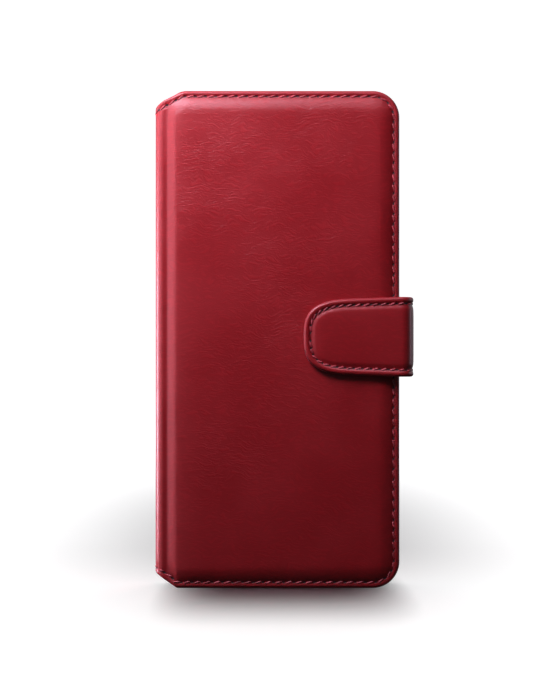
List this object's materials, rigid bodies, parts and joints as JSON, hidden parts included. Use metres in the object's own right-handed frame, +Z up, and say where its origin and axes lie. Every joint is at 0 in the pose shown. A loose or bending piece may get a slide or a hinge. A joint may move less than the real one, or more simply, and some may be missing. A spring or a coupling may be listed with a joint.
{
  "type": "phone wallet case",
  "caption": "Red leather folio case for a phone: padded front cover, rounded spine, back cover with a clip-in phone tray, inner card pockets and a magnetic tab round the fore edge.",
  "frame": {"origin": "on the surface the closed case stands on, under the middle of the closed case's box", "axes": "+Z up, along the height of the case; the front cover faces -Y; the rounded spine is on the -X side and the fore edge with the magnetic tab on the +X side"},
  "size_m": [0.0896, 0.022, 0.173],
  "materials": {
    "red_leather": "smooth grained, satin",
    "red_lining": "fine suede-like lining",
    "red_thread": "waxed polyester sewing thread",
    "grey_board": "pressed grey board, hidden",
    "white_foam": "thin padding foam, hidden",
    "black_tape": "adhesive pad, hidden",
    "tray_plastic": "moulded polycarbonate, satin",
    "plate_steel": "plated sheet, hidden",
    "magnet_nickel": "nickel-plated magnet, hidden"
  },
  "bodies": {
    "back_cover": {"back_cover_leather": "red_leather", "back_cover_board": "grey_board", "back_cover_lining": "red_lining", "back_seam": "red_thread", "tray_pad": "black_tape", "phone_tray": "tray_plastic", "tab_root": "red_leather"},
    "spine": {"spine_leather": "red_leather", "spine_stiffener": "grey_board", "spine_lining": "red_lining"},
    "front_cover": {"front_cover_leather": "red_leather", "front_cover_foam": "white_foam", "front_catch_plate": "plate_steel", "front_cover_board": "grey_board", "front_cover_lining": "red_lining", "front_seam": "red_thread", "cash_pocket": "red_lining", "card_pocket_1": "red_leather", "card_pocket_2": "red_leather", "card_pocket_3": "red_leather", "card_seam_upper": "red_thread", "card_seam_lower": "red_thread"},
    "tab_bridge": {"tab_bridge_leather": "red_leather", "tab_bridge_lining": "red_leather"},
    "tab_flap": {"tab_flap_leather": "red_leather", "tab_flap_lining": "red_leather", "tab_stiffener": "white_foam", "tab_magnet_upper": "magnet_nickel", "tab_magnet_lower": "magnet_nickel", "tab_seam": "red_thread"}
  },
  "joints": [
    {"name": "spine_fold", "type": "hinge", "parent": "back_cover", "child": "spine", "pos_m": [-0.041, 0.0104, 0.0865], "axis": [0, 0, -1], "range_deg": [0, 178]},
    {"name": "cover_fold", "type": "hinge", "parent": "spine", "child": "front_cover", "pos_m": [-0.041, -0.007, 0.0865], "axis": [0, 0, -1], "range_deg": [0, 178]},
    {"name": "tab_root_bend", "type": "hinge", "parent": "back_cover", "child": "tab_bridge", "pos_m": [0.04296, 0.00866, 0.0874], "axis": [0, 0, 1], "range_deg": [0, 105]},
    {"name": "tab_front_bend", "type": "hinge", "parent": "tab_bridge", "child": "tab_flap", "pos_m": [0.04307, -0.00932, 0.0874], "axis": [0, 0, 1], "range_deg": [0, 90]}
  ]
}
